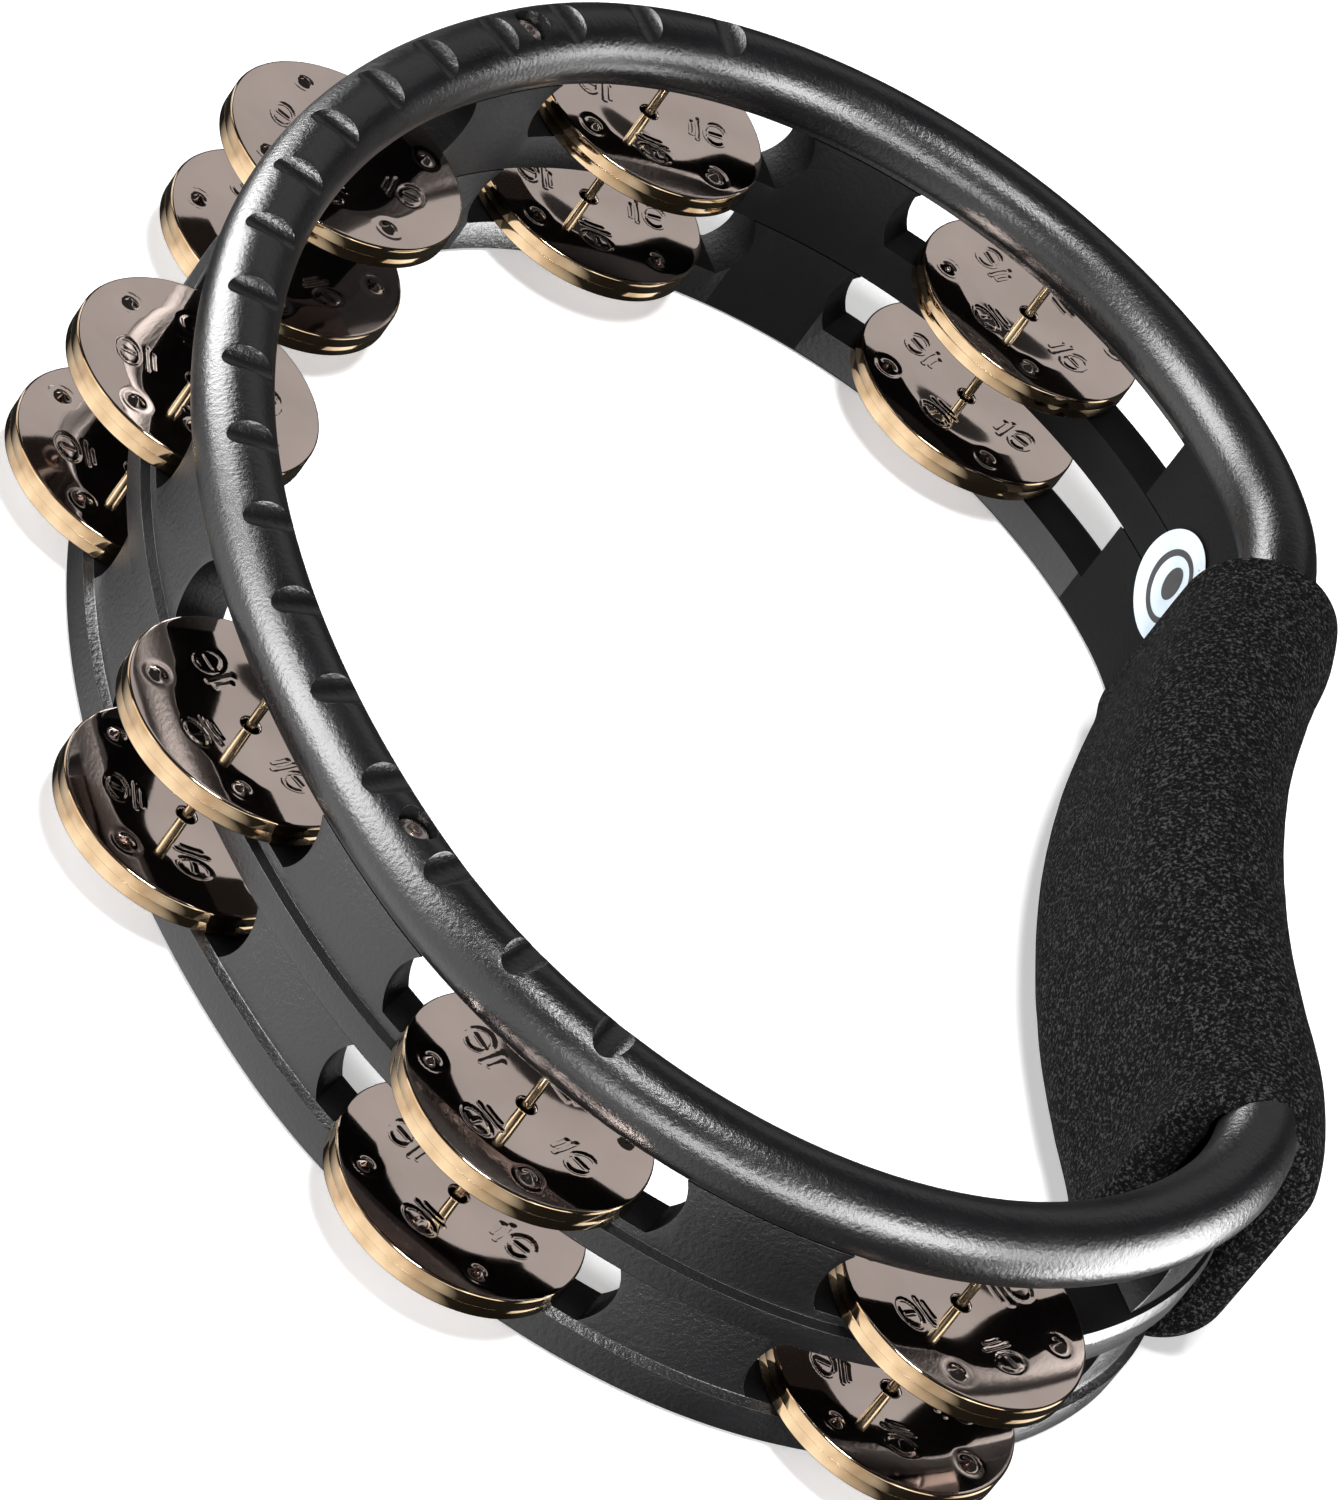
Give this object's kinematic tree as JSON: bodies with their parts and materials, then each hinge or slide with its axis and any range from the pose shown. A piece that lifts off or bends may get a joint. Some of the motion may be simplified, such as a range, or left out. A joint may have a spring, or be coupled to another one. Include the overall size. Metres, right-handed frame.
{
  "type": "tambourine",
  "caption": "Hand-held tambourine: oval black plastic frame with two rows of paired metal jingles on pins and a foam-covered inward-curved handle.",
  "frame": {"origin": "centre of the bounding box at the surface that the back rim lies on", "axes": "+Z along the axis of the ring, from the back rim to the front rim tube; +X towards the handle; +Y along the longer side of the oval"},
  "size_m": [0.2382, 0.3186, 0.0554],
  "materials": {
    "frame_plastic": "satin black moulded ABS with a fine grain",
    "foam": "matte black closed-cell foam",
    "jingle_metal": "mirror-bright black nickel on stamped steel",
    "pin_steel": "yellow zinc plated",
    "screw_steel": "dull plated",
    "foil": "silvery printed foil"
  },
  "bodies": {
    "frame": {"front_frame_moulding": "frame_plastic", "middle_frame_ring": "frame_plastic", "back_frame_moulding": "frame_plastic", "foam_grip": "foam", "jingle_pin_1": "pin_steel", "jingle_pin_2": "pin_steel", "jingle_pin_3": "pin_steel", "jingle_pin_4": "pin_steel", "jingle_pin_5": "pin_steel", "jingle_pin_6": "pin_steel", "jingle_pin_7": "pin_steel", "rim_screw_1": "screw_steel", "rim_screw_2": "screw_steel", "round_sticker_1": "foil", "round_sticker_2": "foil"},
    "jingle_1_back_lower": {"jingle_1_back_lower": "jingle_metal"},
    "jingle_1_back_upper": {"jingle_1_back_upper": "jingle_metal"},
    "jingle_1_front_lower": {"jingle_1_front_lower": "jingle_metal"},
    "jingle_1_front_upper": {"jingle_1_front_upper": "jingle_metal"},
    "jingle_2_back_lower": {"jingle_2_back_lower": "jingle_metal"},
    "jingle_2_back_upper": {"jingle_2_back_upper": "jingle_metal"},
    "jingle_2_front_lower": {"jingle_2_front_lower": "jingle_metal"},
    "jingle_2_front_upper": {"jingle_2_front_upper": "jingle_metal"},
    "jingle_3_back_lower": {"jingle_3_back_lower": "jingle_metal"},
    "jingle_3_back_upper": {"jingle_3_back_upper": "jingle_metal"},
    "jingle_3_front_lower": {"jingle_3_front_lower": "jingle_metal"},
    "jingle_3_front_upper": {"jingle_3_front_upper": "jingle_metal"},
    "jingle_4_back_lower": {"jingle_4_back_lower": "jingle_metal"},
    "jingle_4_back_upper": {"jingle_4_back_upper": "jingle_metal"},
    "jingle_4_front_lower": {"jingle_4_front_lower": "jingle_metal"},
    "jingle_4_front_upper": {"jingle_4_front_upper": "jingle_metal"},
    "jingle_5_back_lower": {"jingle_5_back_lower": "jingle_metal"},
    "jingle_5_back_upper": {"jingle_5_back_upper": "jingle_metal"},
    "jingle_5_front_lower": {"jingle_5_front_lower": "jingle_metal"},
    "jingle_5_front_upper": {"jingle_5_front_upper": "jingle_metal"},
    "jingle_6_back_lower": {"jingle_6_back_lower": "jingle_metal"},
    "jingle_6_back_upper": {"jingle_6_back_upper": "jingle_metal"},
    "jingle_6_front_lower": {"jingle_6_front_lower": "jingle_metal"},
    "jingle_6_front_upper": {"jingle_6_front_upper": "jingle_metal"},
    "jingle_7_back_lower": {"jingle_7_back_lower": "jingle_metal"},
    "jingle_7_back_upper": {"jingle_7_back_upper": "jingle_metal"},
    "jingle_7_front_lower": {"jingle_7_front_lower": "jingle_metal"},
    "jingle_7_front_upper": {"jingle_7_front_upper": "jingle_metal"}
  },
  "joints": [
    {"name": "slide_1_back_lower", "type": "slide", "parent": "frame", "child": "jingle_1_back_lower", "axis": [0, 0, 1], "range_m": [0, 0.0043]},
    {"name": "slide_1_back_upper", "type": "slide", "parent": "jingle_1_back_lower", "child": "jingle_1_back_upper", "axis": [0, 0, 1], "range_m": [0, 0.0043]},
    {"name": "slide_1_front_lower", "type": "slide", "parent": "frame", "child": "jingle_1_front_lower", "axis": [0, 0, 1], "range_m": [0, 0.004]},
    {"name": "slide_1_front_upper", "type": "slide", "parent": "jingle_1_front_lower", "child": "jingle_1_front_upper", "axis": [0, 0, 1], "range_m": [0, 0.004]},
    {"name": "slide_2_back_lower", "type": "slide", "parent": "frame", "child": "jingle_2_back_lower", "axis": [0, 0, 1], "range_m": [0, 0.0043]},
    {"name": "slide_2_back_upper", "type": "slide", "parent": "jingle_2_back_lower", "child": "jingle_2_back_upper", "axis": [0, 0, 1], "range_m": [0, 0.0043]},
    {"name": "slide_2_front_lower", "type": "slide", "parent": "frame", "child": "jingle_2_front_lower", "axis": [0, 0, 1], "range_m": [0, 0.004]},
    {"name": "slide_2_front_upper", "type": "slide", "parent": "jingle_2_front_lower", "child": "jingle_2_front_upper", "axis": [0, 0, 1], "range_m": [0, 0.004]},
    {"name": "slide_3_back_lower", "type": "slide", "parent": "frame", "child": "jingle_3_back_lower", "axis": [0, 0, 1], "range_m": [0, 0.0043]},
    {"name": "slide_3_back_upper", "type": "slide", "parent": "jingle_3_back_lower", "child": "jingle_3_back_upper", "axis": [0, 0, 1], "range_m": [0, 0.0043]},
    {"name": "slide_3_front_lower", "type": "slide", "parent": "frame", "child": "jingle_3_front_lower", "axis": [0, 0, 1], "range_m": [0, 0.004]},
    {"name": "slide_3_front_upper", "type": "slide", "parent": "jingle_3_front_lower", "child": "jingle_3_front_upper", "axis": [0, 0, 1], "range_m": [0, 0.004]},
    {"name": "slide_4_back_lower", "type": "slide", "parent": "frame", "child": "jingle_4_back_lower", "axis": [0, 0, 1], "range_m": [0, 0.0043]},
    {"name": "slide_4_back_upper", "type": "slide", "parent": "jingle_4_back_lower", "child": "jingle_4_back_upper", "axis": [0, 0, 1], "range_m": [0, 0.0043]},
    {"name": "slide_4_front_lower", "type": "slide", "parent": "frame", "child": "jingle_4_front_lower", "axis": [0, 0, 1], "range_m": [0, 0.004]},
    {"name": "slide_4_front_upper", "type": "slide", "parent": "jingle_4_front_lower", "child": "jingle_4_front_upper", "axis": [0, 0, 1], "range_m": [0, 0.004]},
    {"name": "slide_5_back_lower", "type": "slide", "parent": "frame", "child": "jingle_5_back_lower", "axis": [0, 0, 1], "range_m": [0, 0.0043]},
    {"name": "slide_5_back_upper", "type": "slide", "parent": "jingle_5_back_lower", "child": "jingle_5_back_upper", "axis": [0, 0, 1], "range_m": [0, 0.0043]},
    {"name": "slide_5_front_lower", "type": "slide", "parent": "frame", "child": "jingle_5_front_lower", "axis": [0, 0, 1], "range_m": [0, 0.004]},
    {"name": "slide_5_front_upper", "type": "slide", "parent": "jingle_5_front_lower", "child": "jingle_5_front_upper", "axis": [0, 0, 1], "range_m": [0, 0.004]},
    {"name": "slide_6_back_lower", "type": "slide", "parent": "frame", "child": "jingle_6_back_lower", "axis": [0, 0, 1], "range_m": [0, 0.0043]},
    {"name": "slide_6_back_upper", "type": "slide", "parent": "jingle_6_back_lower", "child": "jingle_6_back_upper", "axis": [0, 0, 1], "range_m": [0, 0.0043]},
    {"name": "slide_6_front_lower", "type": "slide", "parent": "frame", "child": "jingle_6_front_lower", "axis": [0, 0, 1], "range_m": [0, 0.004]},
    {"name": "slide_6_front_upper", "type": "slide", "parent": "jingle_6_front_lower", "child": "jingle_6_front_upper", "axis": [0, 0, 1], "range_m": [0, 0.004]},
    {"name": "slide_7_back_lower", "type": "slide", "parent": "frame", "child": "jingle_7_back_lower", "axis": [0, 0, 1], "range_m": [0, 0.0043]},
    {"name": "slide_7_back_upper", "type": "slide", "parent": "jingle_7_back_lower", "child": "jingle_7_back_upper", "axis": [0, 0, 1], "range_m": [0, 0.0043]},
    {"name": "slide_7_front_lower", "type": "slide", "parent": "frame", "child": "jingle_7_front_lower", "axis": [0, 0, 1], "range_m": [0, 0.004]},
    {"name": "slide_7_front_upper", "type": "slide", "parent": "jingle_7_front_lower", "child": "jingle_7_front_upper", "axis": [0, 0, 1], "range_m": [0, 0.004]}
  ]
}
